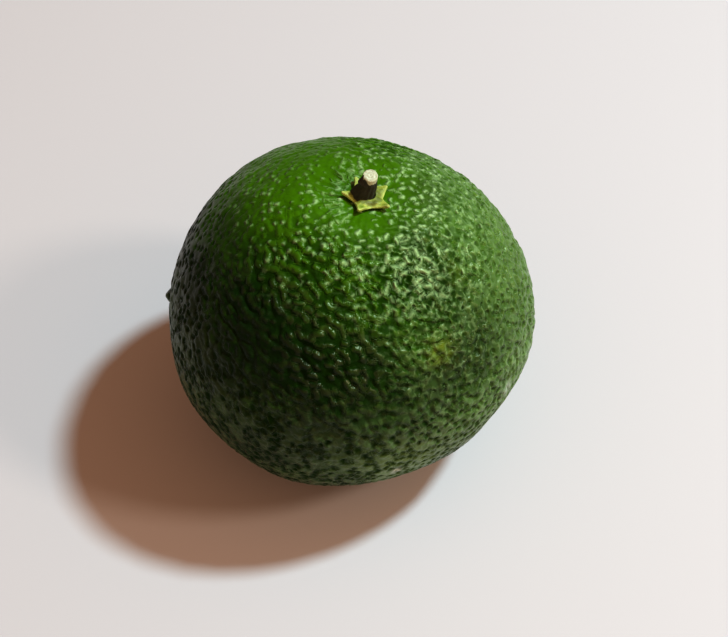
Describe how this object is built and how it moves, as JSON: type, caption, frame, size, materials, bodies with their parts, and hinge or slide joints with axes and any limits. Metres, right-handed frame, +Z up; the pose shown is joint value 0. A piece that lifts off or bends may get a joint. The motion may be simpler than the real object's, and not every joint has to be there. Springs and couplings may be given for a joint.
{
  "type": "kabosu fruit",
  "caption": "Whole green kabosu, a small round citrus fruit with pitted rind, star-shaped calyx and short cut stalk, resting on a small flat spot at its blossom end.",
  "frame": {"origin": "on the surface that the fruit rests on, under the middle of its outline", "axes": "+Z up; the stalk end leans 6.5 degrees towards +X; the side with the wart is -X"},
  "size_m": [0.061, 0.0598, 0.0568],
  "materials": {
    "rind": "waxy satin citrus rind, pitted with oil glands",
    "calyx": "matt, yellow-green, with paler edges",
    "bark": "rough olive-brown bark, with a cream cut end"
  },
  "bodies": {
    "root": {"fruit": "rind", "calyx": "calyx", "stalk": "bark"}
  },
  "joints": []
}
